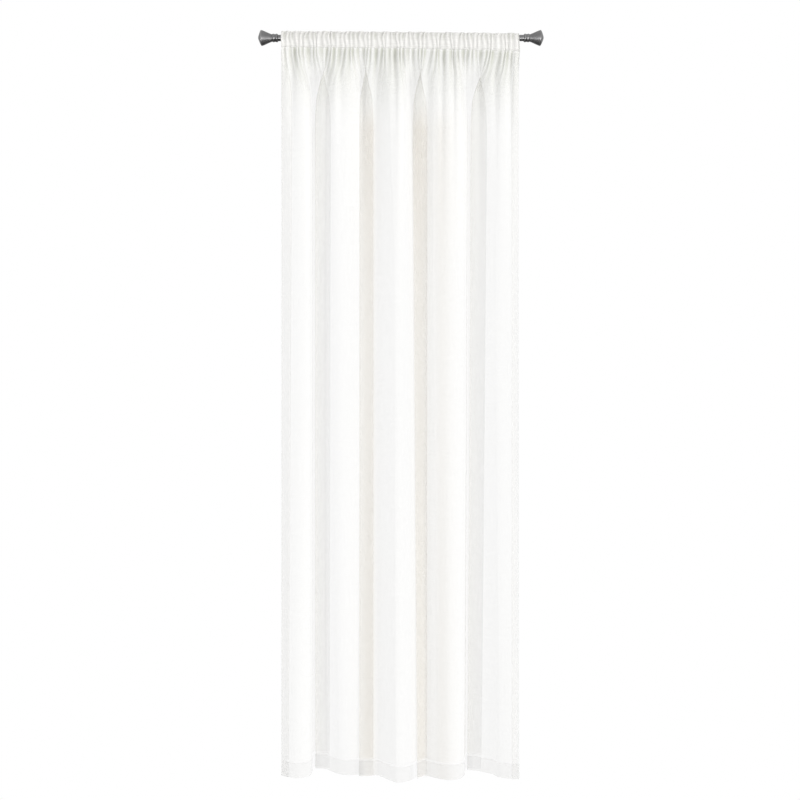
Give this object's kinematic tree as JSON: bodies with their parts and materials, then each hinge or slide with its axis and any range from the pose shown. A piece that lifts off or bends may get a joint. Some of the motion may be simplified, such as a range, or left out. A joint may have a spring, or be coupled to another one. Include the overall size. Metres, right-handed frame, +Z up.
{
  "type": "sheer voile curtain on a curtain rod",
  "caption": "Sheer white voile curtain gathered by a pencil-pleat heading tape on a metal rod, with turned collars and trumpet finials at its ends.",
  "frame": {"origin": "middle of the rod's axis, halfway between the finials' tips", "axes": "+X along the rod, to the right of someone who faces the curtain; -Y towards that viewer; +Z up"},
  "size_m": [0.958, 0.1294, 2.5064],
  "materials": {
    "voile": "sheer plain-weave voile, off-white, translucent",
    "tape": "woven gathering tape, white, matt",
    "rod_metal": "brushed gunmetal grey",
    "finial_metal": "brushed gunmetal grey, turned"
  },
  "bodies": {
    "root": {"curtain_panel": "voile", "heading_tape": "tape", "rod": "rod_metal", "collar_left": "rod_metal", "collar_right": "rod_metal", "finial_left": "finial_metal", "finial_right": "finial_metal"}
  },
  "joints": []
}
